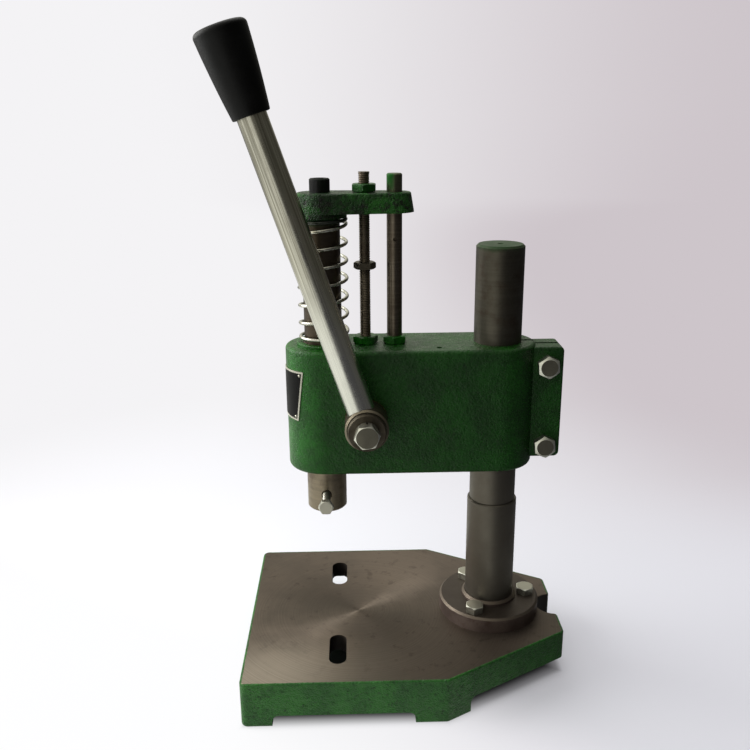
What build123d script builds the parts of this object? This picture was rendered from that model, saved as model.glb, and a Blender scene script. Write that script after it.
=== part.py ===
from build123d import *
import math
import os

# Bench hand press: a lever turns a pinion, the pinion drives a toothed ram down,
# and a coil spring lifts it again. Sizes are in millimetres.
# X runs from the ram back to the column, Y runs across, and Z runs up from the feet.
# Heights and places are worked out with the column at X = 0, then moved to the origin.

# Base casting
base_length = 245.0
base_width = 190.0
base_height = 36.0
base_behind_column = 53.5
base_taper_before_column = 42.0
base_rear_width = 78.0
base_plate = 13.0
base_skirt = 7.0
base_corner_radius = 5.0
base_edge_round = 1.2
base_foot_round = 2.0
near_arch_height = 9.5
far_arch_height = 13.5
end_arch_height = 13.0
arch_radius = 5.0
front_foot_length = 22.5
front_foot_width = 26.0
rear_foot_length = 41.0
rear_foot_before_column = 24.5
rear_foot_width = 22.0
slot_before_column = 121.7
slot_spread = 110.0
slot_length = 36.0
slot_width = 13.0
notch_width = 28.0
notch_depth = 14.0
notch_mouth_round = 3.0
column_pad_radius = 43.0
column_pad_depth = 8.0

# Column and its flange
column_diameter = 35.0
column_height = 295.5
shoulder_diameter = 38.0
shoulder_height = 98.0
column_chamfer = 1.5
centre_mark_diameter = 5.0
centre_mark_depth = 2.5
flange_diameter = 79.0
flange_thickness = 12.0
flange_chamfer = 1.5
collar_diameter = 43.0
collar_height = 3.5
flange_bolt_circle = 59.0
flange_bolt_count = 3
flange_bolt_diameter = 8.0
flange_bolt_flats = 13.0
flange_bolt_head = 5.3
flange_bolt_turn = 20.0
flange_bolt_depth = 14.0

# Head casting
ram_to_column = 128.5
head_width = 56.0
head_height = 94.0
head_above_shoulder = 32.0
head_edge_round = 3.0
ear_reach = 47.4
ear_width = 26.0
ear_step_below = 6.0
ear_step_above = 2.4
ear_upper_radius = 3.5
ear_lower_radius = 4.0
ear_edge_round = 1.5
clamp_slit = 3.0
clamp_bolt_behind_column = 35.6
clamp_bolt_spacing = 62.0
clamp_bolts_below_middle = 0.5
clamp_bolt_diameter = 10.0
clamp_bolt_flats = 15.0
clamp_bolt_head = 6.4
clamp_bolt_face_share = 0.83
clamp_bolt_turn = 35.0
clamp_bolt_depth = 10.0
seat_diameter = 39.0
seat_height = 2.0
seat_chamfer = 0.6
oil_hole_diameter = 4.0
oil_hole_depth = 8.0
oil_hole_before_column = 44.8
oil_hole_to_side = 18.0

# Ram and its rack
ram_diameter = 30.0
ram_neck_diameter = 27.5
ram_below_head = 36.0
ram_chamfer = 1.0
ram_stroke = 35.0
tool_bore_diameter = 10.0
tool_bore_depth = 30.0
tool_screw_height = 14.0
tool_screw_diameter = 6.0
tool_screw_flats = 10.0
tool_screw_head = 4.0
tool_screw_reach = 22.0
tool_screw_sink = 9.0
tool_screw_sink_depth = 1.5

# Rack and pinion
gear_module = 2.0
pinion_teeth = 18
pressure_angle = 20.0
tooth_backlash = 0.16
pinion_behind_ram = 30.5
pinion_above_head_bottom = 43.5
pinion_face = 17.0
gear_chamber_clearance = 1.0
rack_spaces_below = 2
rack_spaces_above = 7

# Pinion shaft, bushes and cover
near_journal_diameter = 20.0
far_journal_diameter = 18.0
hub_seat_diameter = 16.0
hub_seat_length = 21.0
bush_wall = 3.0
bush_flange_thickness = 1.5
bush_flange_diameter = 31.0
cover_diameter = 59.0
cover_thickness = 5.0
cover_edge_round = 1.5
cover_spigot_depth = 15.0
cover_nose_radius = 16.0
cover_screw_circle = 51.0
cover_screw_count = 3
cover_screw_diameter = 5.0
cover_screw_head_diameter = 8.5
cover_screw_head = 5.0
cover_screw_depth = 10.0
end_play = 0.5

# Lever
lever_lean = 18.53
lever_rod_diameter = 20.0
lever_rod_length = 256.0
lever_spigot_diameter = 12.0
lever_spigot_length = 4.0
grip_on_rod = 33.7
grip_length = 56.0
grip_small_diameter = 25.2
grip_large_diameter = 35.8
grip_swell = 0.55
grip_end_round = 3.5
grip_start_round = 1.0
hub_diameter = 31
hub_length = 22.2
hub_chamfer = 1.3
hub_web = 3.1
hub_key_width = 5.0
hub_key_length = 14.0
hub_key_from_back = 2.0
end_washer_diameter = 27
end_washer_thickness = 4.5
end_washer_chamfer = 0.6
spring_washer_diameter = 17.0
spring_washer_thickness = 2.5
spring_washer_slit = 1.2
hub_bolt_diameter = 10.0
hub_bolt_flats = 16.0
hub_bolt_head = 6.4
hub_bolt_turn = 8.0
hub_bolt_depth = 16.0

# Yoke, spring and rods
spring_length = 89.6
spring_diameter = 37.0
spring_wire = 2.5
spring_active_turns = 6.25
spring_end_pitch = 3.1
spring_start_angle = -84.0
spring_offset = 0.8
yoke_boss_diameter = 37.5
yoke_boss_height = 3.4
yoke_thickness = 13.8
yoke_ram_end_radius = 18.75
yoke_rod_end_radius = 13.9
yoke_draft = 9.5
yoke_edge_round = 1.5
ram_socket_depth = 10.0
cap_screw_diameter = 10.0
cap_screw_head_diameter = 14.5
cap_screw_head = 9.6
cap_screw_depth = 18.0
cap_screw_socket = 8.0
stud_behind_ram = 31.0
stud_diameter = 8.0
stud_above_yoke = 13.8
stud_in_head = 18.0
guide_behind_stud = 21.3
guide_diameter = 11.0
guide_above_yoke = 12.6
guide_in_head = 20.0
guide_pin_hole = 2.5
guide_pin_hole_depth = 4.0
guide_pin_hole_below_yoke = 19.0
rod_nut_flats = 16.0
rod_nut_height = 5.5
stud_lock_nut_turn = 10.0
stud_top_nut_turn = 25.0
guide_rod_nut_turn = 25.0
stop_nut_height = 5.0
stop_nut_flats = 14.0
rod_chamfer = 0.8

# Fits and clearances, each on the radius or between two faces
column_fit = 0.05
ram_fit = 0.05
shaft_fit = 0.04
guide_fit = 0.2
stud_clearance = 0.5
screw_clearance = 0.05
bolt_clearance = 0.4
face_gap = 0.3
socket_fit = 0.05
drill_point = 1.0
head_face_share = 0.96
head_chamfer_angle = 30.0

# Heights of the main levels
base_top = base_height
shoulder_top = base_top + shoulder_height
column_top = base_top + column_height
head_bottom = shoulder_top + head_above_shoulder
head_top = head_bottom + head_height
head_middle = (head_bottom + head_top) / 2
seat_top = head_top + seat_height
yoke_boss_bottom = seat_top + spring_length
yoke_bottom = yoke_boss_bottom + yoke_boss_height
yoke_top = yoke_bottom + yoke_thickness
ram_bottom = head_bottom - ram_below_head
ram_top = yoke_boss_bottom + ram_socket_depth
stop_nut_top = yoke_bottom - ram_stroke - face_gap
pinion_z = head_bottom + pinion_above_head_bottom

# Places along X
ram_x = -ram_to_column
pinion_x = ram_x + pinion_behind_ram
stud_x = ram_x + stud_behind_ram
guide_x = stud_x + guide_behind_stud
base_front = base_behind_column - base_length
slot_x = -slot_before_column
rear_foot_end = -rear_foot_before_column

# Places along Y, the lever side being the near side
head_side = head_width / 2
hub_back = head_side + bush_flange_thickness + face_gap
hub_front = hub_back + hub_length
washer_front = hub_front + end_washer_thickness
hub_bolt_seat = washer_front + spring_washer_thickness
rod_y = -(hub_back + hub_length / 2)
grip_start = lever_rod_length - grip_on_rod
chamber_near = pinion_face / 2 + end_play

# Gear sizes
pitch_radius = gear_module * pinion_teeth / 2
tip_radius = pitch_radius + gear_module
root_radius = pitch_radius - 1.25 * gear_module
rack_pitch = math.pi * gear_module
rack_pitch_line = pinion_behind_ram - pitch_radius
chamber_radius = tip_radius + gear_chamber_clearance

upright = (Align.CENTER, Align.CENTER, Align.MIN)


def upright_disc(radius, x, y, bottom, top):
    """A cylinder that stands on the level bottom and ends at the level top."""
    return Pos(x, y, bottom) * Cylinder(radius, top - bottom, align=upright)


def cross_disc(radius, x, z, near, far):
    """A cylinder that lies along Y from the place near to the place far."""
    return Pos(x, near, z) * Rot(-90, 0, 0) * Cylinder(radius, far - near, align=upright)


def block(x_min, x_max, y_min, y_max, z_min, z_max):
    """A plain block between two corners."""
    size = (x_max - x_min, y_max - y_min, z_max - z_min)
    return Pos(x_min, y_min, z_min) * Box(*size, align=(Align.MIN, Align.MIN, Align.MIN))


def hexagon(flats, height, turn=0.0, face_share=head_face_share):
    """A hexagonal nut or head with its six upper corners turned off, standing on Z = 0."""
    face = face_share * flats / 2
    fall = math.tan(math.radians(head_chamfer_angle))
    prism = extrude(Rot(0, 0, turn) * RegularPolygon(flats / 2, 6, major_radius=False), height)
    return prism & Cone(face + height / fall, face, height, align=upright)


def hex_bolt(diameter, flats, head, length, turn=0.0, face_share=head_face_share):
    """A hexagon bolt: the head stands on Z = 0 and the shank goes down."""
    shank = upright_disc(diameter / 2, 0, 0, -length, 0)
    return hexagon(flats, head, turn, face_share) + shank


def base_outline():
    """Plan of the base: square in front, drawn in towards the notched rear edge."""
    half = base_width / 2
    rear = base_rear_width / 2
    taper = -base_taper_before_column
    corners = [(base_front, -half), (taper, -half), (base_behind_column, -rear),
               (base_behind_column, rear), (taper, half), (base_front, half)]
    face = Polygon(*corners, align=None)
    face = fillet(face.vertices(), base_corner_radius)
    centre = base_behind_column + notch_width / 2 - notch_depth
    face -= Pos(centre, 0) * Circle(notch_width / 2)
    face -= Pos(centre + notch_width / 2, 0) * Rectangle(notch_width, notch_width)
    mouth = [corner for corner in face.vertices() if abs(corner.Y) < notch_width / 2 + 0.1]
    return fillet([corner for corner in mouth if corner.X > base_behind_column - 0.1], notch_mouth_round)


def arch(length, width, height, middle_x, middle_y, turn):
    """The low opening under a wall between two feet, with rounded upper corners."""
    profile = Rectangle(length, 2 * height)
    profile = fillet(profile.vertices(), arch_radius)
    return Pos(middle_x, middle_y, 0) * Rot(0, 0, turn) * Rot(90, 0, 0) * extrude(profile, width / 2, both=True)


def base_hollow():
    """The hollow under the table, less the blocks of the four feet and the column pad."""
    plate_bottom = base_height - base_plate
    half = base_width / 2
    hollow = extrude(offset(base_outline(), -base_skirt, kind=Kind.INTERSECTION), plate_bottom)
    hollow -= upright_disc(column_pad_radius, 0, 0, plate_bottom - column_pad_depth, plate_bottom)
    for side in (-1, 1):
        edge = side * half
        inner = side * (half - front_foot_width)
        hollow -= block(base_front, base_front + front_foot_length,
                        min(edge, inner), max(edge, inner), 0, plate_bottom)
        inner = side * (half - rear_foot_width)
        hollow -= block(rear_foot_end - rear_foot_length, rear_foot_end,
                        min(edge, inner), max(edge, inner), 0, plate_bottom)
    return hollow


def base_casting():
    """Flat table on a skirt with four feet, two slots, a rear notch and the column pad."""
    half = base_width / 2
    body = extrude(base_outline(), base_height)
    body = fillet(body.faces().sort_by(Axis.Z)[-1].edges(), base_edge_round)
    body = fillet(body.faces().sort_by(Axis.Z)[0].edges(), base_foot_round)
    body -= base_hollow()
    arch_start = base_front + front_foot_length
    arch_end = rear_foot_end - rear_foot_length
    middle = (arch_start + arch_end) / 2
    body -= arch(arch_end - arch_start, 2 * base_skirt, near_arch_height, middle, -half, 0)
    body -= arch(arch_end - arch_start, 2 * base_skirt, far_arch_height, middle, half, 0)
    body -= arch(base_width - 2 * front_foot_width, 2 * base_skirt, end_arch_height, base_front, 0, 90)
    rear_run = 2 * (base_behind_column - rear_foot_end)
    body -= arch(rear_run, 2 * base_width, end_arch_height, base_behind_column, 0, 0)
    for side in (-1, 1):
        slot = Rot(0, 0, 90) * SlotOverall(slot_length, slot_width)
        body -= Pos(slot_x, side * slot_spread / 2, 0) * extrude(slot, base_height)
    for place in bolt_places(flange_bolt_circle, flange_bolt_count):
        hole = upright_disc(flange_bolt_diameter / 2 + screw_clearance, 0, 0,
                            base_top - flange_bolt_depth - drill_point, base_top)
        body -= place * hole
    return body


def bolt_places(circle, count):
    """Places evenly spaced round a circle, the first one towards +X."""
    return [Rot(0, 0, step * 360 / count) * Pos(circle / 2, 0, 0) for step in range(count)]


def column_flange():
    """Turned flange that carries the column, with a raised collar round it."""
    top = base_top + flange_thickness
    plate = upright_disc(flange_diameter / 2, 0, 0, base_top, top)
    plate = chamfer(plate.edges().sort_by(Axis.Z)[-1], flange_chamfer)
    plate += upright_disc(collar_diameter / 2, 0, 0, top, top + collar_height)
    plate = chamfer(plate.edges().sort_by(Axis.Z)[-1], collar_height / 2)
    plate -= upright_disc(shoulder_diameter / 2 + socket_fit, 0, 0, base_top, top + collar_height)
    for place in bolt_places(flange_bolt_circle, flange_bolt_count):
        plate -= place * upright_disc(flange_bolt_diameter / 2 + bolt_clearance, 0, 0, base_top, top)
    return plate


def column():
    """Ground column, thicker below the shoulder."""
    upper = upright_disc(column_diameter / 2, 0, 0, shoulder_top, column_top)
    upper = chamfer(upper.edges().sort_by(Axis.Z)[-1], column_chamfer)
    upper -= Pos(0, 0, column_top - centre_mark_depth) * Cone(0, centre_mark_diameter / 2, centre_mark_depth,
                                                             align=upright)
    lower = upright_disc(shoulder_diameter / 2, 0, 0, base_top, shoulder_top)
    lower = chamfer(lower.edges().sort_by(Axis.Z)[-1], (shoulder_diameter - column_diameter) / 4)
    return upper + lower


def flange_bolts():
    """Hexagon bolts that hold the flange down."""
    length = flange_thickness + flange_bolt_depth
    bolt = hex_bolt(flange_bolt_diameter, flange_bolt_flats, flange_bolt_head, length, flange_bolt_turn)
    top = base_top + flange_thickness
    return [Pos(0, 0, top) * place * bolt for place in bolt_places(flange_bolt_circle, flange_bolt_count)]


def head_body():
    """Outside of the head: a round-ended body with clamp ears and a spring seat."""
    plan = Pos(ram_x / 2, 0) * SlotCenterToCenter(ram_to_column, head_width)
    body = Pos(0, 0, head_bottom) * extrude(plan, head_height)
    rims = body.edges().group_by(Axis.Z)
    body = fillet(rims[0] + rims[-1], head_edge_round)
    ear_bottom = head_bottom + ear_step_below
    ear_top = head_top - ear_step_above
    profile = Pos(ear_reach / 2, (ear_bottom + ear_top) / 2) * Rectangle(ear_reach, ear_top - ear_bottom)
    profile = fillet(profile.vertices().group_by(Axis.X)[-1].sort_by(Axis.Y)[-1], ear_upper_radius)
    profile = fillet(profile.vertices().filter_by_position(Axis.X, ear_reach - 0.1, ear_reach + 0.1)
                     .sort_by(Axis.Y)[0], ear_lower_radius)
    ears = Rot(90, 0, 0) * extrude(profile, ear_width / 2, both=True)
    flanks = ears.faces().sort_by(Axis.Y)
    ears = fillet(flanks[0].edges() + flanks[-1].edges(), ear_edge_round)
    seat = upright_disc(seat_diameter / 2, ram_x, 0, head_top - head_edge_round, seat_top)
    seat = chamfer(seat.edges().sort_by(Axis.Z)[-1], seat_chamfer)
    return body + ears + seat


def clamp_bolt_heights():
    """Heights of the two clamp bolts."""
    middle = head_middle - clamp_bolts_below_middle
    return [middle - clamp_bolt_spacing / 2, middle + clamp_bolt_spacing / 2]


def head_casting():
    """Head with bores for ram and column, the gear chamber, the clamp slit and the rod holes."""
    body = head_body()
    body -= upright_disc(ram_diameter / 2 + ram_fit, ram_x, 0, head_bottom, seat_top)
    body -= upright_disc(column_diameter / 2 + column_fit, 0, 0, head_bottom, head_top)
    body -= block(0, ear_reach, -clamp_slit / 2, clamp_slit / 2, head_bottom, head_top)
    body -= cross_disc(chamber_radius, pinion_x, pinion_z, -chamber_near, head_side)
    near_hole = near_journal_diameter / 2 + bush_wall + socket_fit
    body -= cross_disc(near_hole, pinion_x, pinion_z, -head_side, -chamber_near)
    for place in bolt_places(cover_screw_circle, cover_screw_count):
        hole = upright_disc(cover_screw_diameter / 2 + screw_clearance, 0, 0, -cover_screw_depth - drill_point, 0)
        body -= Pos(pinion_x, head_side, pinion_z) * Rot(-90, 0, 0) * place * hole
    stud_hole = stud_diameter / 2 + screw_clearance
    body -= upright_disc(stud_hole, stud_x, 0, head_top - stud_in_head - drill_point, head_top)
    guide_hole = guide_diameter / 2 + screw_clearance
    body -= upright_disc(guide_hole, guide_x, 0, head_top - guide_in_head - drill_point, head_top)
    body -= upright_disc(oil_hole_diameter / 2, -oil_hole_before_column, -oil_hole_to_side,
                         head_top - oil_hole_depth, head_top)
    for height in clamp_bolt_heights():
        x = clamp_bolt_behind_column
        near_hole = clamp_bolt_diameter / 2 + bolt_clearance
        body -= cross_disc(near_hole, x, height, -ear_width / 2, 0)
        far_hole = clamp_bolt_diameter / 2 + screw_clearance
        body -= cross_disc(far_hole, x, height, 0, ear_width / 2)
    return body


def clamp_bolts():
    """Two hexagon bolts that draw the ears together."""
    length = ear_width / 2 + clamp_slit / 2 + clamp_bolt_depth
    bolt = Rot(90, 0, 0) * hex_bolt(clamp_bolt_diameter, clamp_bolt_flats, clamp_bolt_head, length,
                                    clamp_bolt_turn, clamp_bolt_face_share)
    x = clamp_bolt_behind_column
    return [Pos(x, -ear_width / 2, height) * bolt for height in clamp_bolt_heights()]


def rack_cut():
    """What is milled from the rear of the ram: a flat with straight-sided tooth spaces."""
    slope = math.tan(math.radians(pressure_angle))
    tip = rack_pitch_line + gear_module
    root = rack_pitch_line - 1.25 * gear_module
    half = rack_pitch / 4 + tooth_backlash / 4
    at_root = half - 1.25 * gear_module * slope
    outside = ram_diameter / 2 + 1
    at_outside = half + (outside - rack_pitch_line) * slope
    low = pinion_z - (rack_spaces_below + 0.5) * rack_pitch
    high = pinion_z + (rack_spaces_above + 0.5) * rack_pitch
    cut = block(ram_x + tip, ram_x + outside, -ram_diameter / 2, ram_diameter / 2, low, high)
    corners = [(root, -at_root), (outside, -at_outside), (outside, at_outside), (root, at_root)]
    space = Rot(90, 0, 0) * extrude(Polygon(*corners, align=None), ram_diameter / 2, both=True)
    for step in range(-rack_spaces_below, rack_spaces_above + 1):
        cut += Pos(ram_x, 0, pinion_z + step * rack_pitch) * space
    return cut


def ram():
    """Ram with its rack, the tool bore in its foot and the threaded top for the cap screw."""
    shoulder = seat_top
    lower = upright_disc(ram_diameter / 2, ram_x, 0, ram_bottom, shoulder)
    lower = chamfer(lower.edges().sort_by(Axis.Z)[0], ram_chamfer)
    lower = chamfer(lower.edges().sort_by(Axis.Z)[-1], (ram_diameter - ram_neck_diameter) / 4)
    body = lower + upright_disc(ram_neck_diameter / 2, ram_x, 0, shoulder, ram_top)
    body -= rack_cut()
    body -= upright_disc(tool_bore_diameter / 2, ram_x, 0, ram_bottom, ram_bottom + tool_bore_depth)
    screw_z = ram_bottom + tool_screw_height
    thread = tool_screw_diameter / 2 + screw_clearance
    body -= cross_disc(thread, ram_x, screw_z, -ram_diameter / 2, 0)
    sink = Cone(thread, tool_screw_sink / 2, tool_screw_sink_depth, align=upright)
    body -= Pos(ram_x, tool_screw_sink_depth - ram_diameter / 2, screw_z) * Rot(90, 0, 0) * sink
    body -= upright_disc(cap_screw_diameter / 2 + screw_clearance, ram_x, 0,
                         ram_top - cap_screw_depth - drill_point, ram_top)
    return body


def tool_clamp_screw():
    """Hexagon screw that holds a tool in the bore of the ram."""
    free = tool_screw_reach - tool_screw_head
    depth = ram_diameter / 2 - tool_bore_diameter / 2 - face_gap
    screw = hex_bolt(tool_screw_diameter, tool_screw_flats, tool_screw_head, free + depth)
    place = Pos(ram_x, -ram_diameter / 2 - free, ram_bottom + tool_screw_height)
    return place * Rot(90, 0, 0) * screw


def yoke_outline(narrowing):
    """Plan of the yoke: two round ends joined by their tangents, drawn in by a margin."""
    reach = guide_x - ram_x
    large = yoke_ram_end_radius - narrowing
    small = yoke_rod_end_radius - narrowing
    lean = (large - small) / reach
    rise = math.sqrt(1 - lean * lean)
    with BuildSketch() as plan:
        with BuildLine():
            Line((lean * large, rise * large), (reach + lean * small, rise * small))
            ThreePointArc((reach + lean * small, rise * small), (reach + small, 0),
                          (reach + lean * small, -rise * small))
            Line((reach + lean * small, -rise * small), (lean * large, -rise * large))
            ThreePointArc((lean * large, -rise * large), (-large, 0), (lean * large, rise * large))
        make_face()
    return plan.sketch


def yoke():
    """Cast arm on top of the ram, with draft, that slides on the stud and the guide rod."""
    narrowing = yoke_thickness * math.tan(math.radians(yoke_draft))
    lower = yoke_outline(0)
    upper = Pos(0, 0, yoke_thickness) * yoke_outline(narrowing)
    arm = loft([lower, upper], ruled=True)
    arm = fillet(arm.faces().sort_by(Axis.Z)[-1].edges(), yoke_edge_round)
    body = Pos(ram_x, 0, yoke_bottom) * arm
    body += upright_disc(yoke_boss_diameter / 2, ram_x, 0, yoke_boss_bottom, yoke_bottom)
    body -= upright_disc(ram_neck_diameter / 2 + socket_fit, ram_x, 0, yoke_boss_bottom, ram_top)
    body -= upright_disc(cap_screw_diameter / 2 + bolt_clearance, ram_x, 0, ram_top, yoke_top)
    body -= upright_disc(stud_diameter / 2 + stud_clearance, stud_x, 0, yoke_bottom, yoke_top)
    body -= upright_disc(guide_diameter / 2 + guide_fit, guide_x, 0, yoke_bottom, yoke_top)
    return body


def yoke_cap_screw():
    """Socket head screw that holds the yoke on the ram."""
    head = upright_disc(cap_screw_head_diameter / 2, 0, 0, 0, cap_screw_head)
    head = chamfer(head.edges().sort_by(Axis.Z)[-1], rod_chamfer)
    socket = extrude(RegularPolygon(cap_screw_socket / 2, 6, major_radius=False), cap_screw_head / 2)
    head -= Pos(0, 0, cap_screw_head / 2) * socket
    length = yoke_top - ram_top + cap_screw_depth
    screw = head + upright_disc(cap_screw_diameter / 2, 0, 0, -length, 0)
    return Pos(ram_x, 0, yoke_top) * screw


def spring_point(turns):
    """Centre of the wire after so many turns from the lower end."""
    radius = (spring_diameter - spring_wire) / 2
    angle = math.radians(spring_start_angle) + 2 * math.pi * turns
    return Vector(radius * math.cos(angle), radius * math.sin(angle), spring_height(turns))


def spring_height(turns):
    """Height of the wire's centre: closed end turns and an even pitch between them."""
    rise = spring_length - spring_wire - 2 * spring_end_pitch
    pitch = rise / spring_active_turns
    active = min(max(turns - 1, 0), spring_active_turns)
    closed = min(turns, 1) + max(turns - 1 - spring_active_turns, 0)
    return spring_wire / 2 + closed * spring_end_pitch + active * pitch


def spring_direction(turns):
    """Direction in which the wire runs there."""
    step = 0.125
    angle = math.radians(spring_start_angle) + 2 * math.pi * turns
    radius = (spring_diameter - spring_wire) / 2
    climb = (spring_height(turns + step) - spring_height(turns - step)) / (2 * step)
    along = Vector(-math.sin(angle), math.cos(angle), 0) * (2 * math.pi * radius)
    return (along + Vector(0, 0, climb)).normalized()


def biarc(start, end, start_way, end_way):
    """Two arcs that leave one point in a direction and reach another in a direction."""
    chord = end - start
    ways = start_way + end_way
    bend = 2 * (1 - start_way.dot(end_way))
    reach = (math.sqrt(chord.dot(ways) ** 2 + bend * chord.dot(chord)) - chord.dot(ways)) / bend
    first = start + start_way * reach
    second = end - end_way * reach
    middle = (first + second) * 0.5
    middle_way = (second - first).normalized()
    return [TangentArc(start, middle, tangent=start_way), TangentArc(middle, end, tangent=middle_way)]


def return_spring():
    """Compression spring in one unbroken wire, from the seat up to the yoke."""
    quarters = round(4 * (spring_active_turns + 2))
    edges = []
    for step in range(quarters):
        low = step / 4
        high = (step + 1) / 4
        edges += biarc(spring_point(low), spring_point(high), spring_direction(low), spring_direction(high))
    path = Wire([edge for part in edges for edge in part.edges()])
    start = spring_point(0)
    section = Plane(start, z_dir=spring_direction(0)) * Circle(spring_wire / 2)
    print("least gap between the spring's turns:", round(spring_gap(), 2))
    return Pos(ram_x + spring_offset, 0, seat_top) * sweep(section, path)


def spring_gap():
    """Least gap of the wire to itself, measured between points more than half a turn apart."""
    steps_per_turn = 24
    count = round(steps_per_turn * (spring_active_turns + 2))
    points = [spring_point(step / steps_per_turn) for step in range(count + 1)]
    least = spring_length
    for first in range(len(points)):
        for second in range(first + steps_per_turn // 2, len(points)):
            least = min(least, (points[first] - points[second]).length)
    return least - spring_wire


def rod_nut(x, bottom, height, flats, hole, turn):
    """Hexagon nut on one of the upright rods, chamfered on both sides."""
    upper = hexagon(flats, height / 2, turn)
    nut = Pos(0, 0, height / 2) * (upper + mirror(upper, Plane.XY))
    nut -= upright_disc(hole, 0, 0, 0, height)
    return Pos(x, 0, bottom) * nut


def depth_stop_stud():
    """Threaded stud that stands in the head and limits the stroke."""
    body = upright_disc(stud_diameter / 2, stud_x, 0, head_top - stud_in_head, yoke_top + stud_above_yoke)
    return chamfer(body.edges().sort_by(Axis.Z)[-1], rod_chamfer)


def stud_lock_nut():
    """Nut that locks the stud on the head."""
    hole = stud_diameter / 2 + screw_clearance
    return rod_nut(stud_x, head_top, rod_nut_height, rod_nut_flats, hole, stud_lock_nut_turn)


def stud_top_nut():
    """Nut above the yoke that ends the upward stroke."""
    hole = stud_diameter / 2 + screw_clearance
    return rod_nut(stud_x, yoke_top + face_gap, rod_nut_height, rod_nut_flats, hole, stud_top_nut_turn)


def depth_stop_nut():
    """Nut on the stud that ends the downward stroke."""
    hole = stud_diameter / 2 + screw_clearance
    return rod_nut(stud_x, stop_nut_top - stop_nut_height, stop_nut_height, stop_nut_flats, hole, 0)


def guide_rod():
    """Plain rod that keeps the yoke and the ram from turning."""
    body = upright_disc(guide_diameter / 2, guide_x, 0, head_top - guide_in_head, yoke_top + guide_above_yoke)
    body = chamfer(body.edges().sort_by(Axis.Z)[-1], rod_chamfer)
    near = -guide_diameter / 2
    return body - cross_disc(guide_pin_hole / 2, guide_x, yoke_bottom - guide_pin_hole_below_yoke,
                             near, near + guide_pin_hole_depth)


def guide_rod_nut():
    """Nut that locks the guide rod on the head."""
    hole = guide_diameter / 2 + screw_clearance
    return rod_nut(guide_x, head_top, rod_nut_height, rod_nut_flats, hole, guide_rod_nut_turn)


def polar(radius, angle):
    """A point of the gear's profile."""
    return (radius * math.cos(angle), radius * math.sin(angle))


def tooth_half_angle(radius):
    """Half the angle that a tooth fills at a radius, on its involute flank."""
    pressure = math.radians(pressure_angle)
    base = pitch_radius * math.cos(pressure)
    here = math.acos(min(1.0, base / radius))
    at_pitch = (rack_pitch / 2 - tooth_backlash / 2) / (2 * pitch_radius)
    return at_pitch + (math.tan(pressure) - pressure) - (math.tan(here) - here)


def pinion_profile():
    """Involute gear profile with one tooth pointing along -X, at the rack."""
    base = pitch_radius * math.cos(math.radians(pressure_angle))
    flank = [base, (base + tip_radius) / 2, tip_radius]
    step = 2 * math.pi / pinion_teeth
    edges = []
    for tooth in range(pinion_teeth):
        middle = math.pi + tooth * step
        angles = [tooth_half_angle(radius) for radius in flank]
        rising = [polar(radius, middle - angle) for radius, angle in zip(flank, angles)]
        falling = [polar(radius, middle + angle) for radius, angle in zip(flank, angles)]
        foot_start = polar(root_radius, middle - angles[0])
        foot_end = polar(root_radius, middle + angles[0])
        next_start = polar(root_radius, middle + step - angles[0])
        edges.append(Line(foot_start, rising[0]))
        edges.append(ThreePointArc(*rising))
        edges.append(ThreePointArc(rising[2], polar(tip_radius, middle), falling[2]))
        edges.append(ThreePointArc(*reversed(falling)))
        edges.append(Line(falling[0], foot_end))
        edges.append(ThreePointArc(foot_end, polar(root_radius, middle + step / 2), next_start))
    wire = Wire([edge for part in edges for edge in part.edges()])
    return make_face(wire)


def pinion_shaft():
    """Shaft cut in one piece with the pinion, with journals at both ends and a seat for the hub."""
    half = pinion_face / 2
    far_end = head_side - face_gap
    gear = Pos(pinion_x, 0, pinion_z) * Rot(90, 0, 0) * extrude(pinion_profile(), half, both=True)
    near_end = -(hub_back + hub_seat_length)
    body = gear + cross_disc(near_journal_diameter / 2, pinion_x, pinion_z, -hub_back, -half)
    body += cross_disc(far_journal_diameter / 2, pinion_x, pinion_z, half, far_end)
    body += cross_disc(hub_seat_diameter / 2, pinion_x, pinion_z, near_end, -hub_back)
    body -= cross_disc(hub_bolt_diameter / 2 + screw_clearance, pinion_x, pinion_z,
                       near_end, near_end + hub_bolt_depth + drill_point)
    body -= key_block(0)
    return body


def key_block(clearance):
    """Room of the key between the shaft and the hub, on the side away from the rod."""
    half = hub_key_width / 2 + clearance
    near = -(hub_back + hub_key_from_back + hub_key_length)
    bar = block(-half, half, near, near + hub_key_length, -half - hub_seat_diameter / 2,
                half - hub_seat_diameter / 2)
    return Pos(pinion_x, 0, pinion_z) * Rot(0, -lever_lean, 0) * bar


def near_bush():
    """Flanged bronze bush in the lever side of the head."""
    inner = near_journal_diameter / 2 + shaft_fit
    sleeve = cross_disc(near_journal_diameter / 2 + bush_wall, pinion_x, pinion_z, -head_side, -chamber_near)
    rim = cross_disc(bush_flange_diameter / 2, pinion_x, pinion_z, -head_side - bush_flange_thickness, -head_side)
    return sleeve + rim - cross_disc(inner, pinion_x, pinion_z, -head_side - bush_flange_thickness, -chamber_near)


def far_bush():
    """Plain bronze bush in the cover."""
    outer = cross_disc(far_journal_diameter / 2 + bush_wall, pinion_x, pinion_z, chamber_near, head_side)
    return outer - cross_disc(far_journal_diameter / 2 + shaft_fit, pinion_x, pinion_z, chamber_near, head_side)


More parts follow.
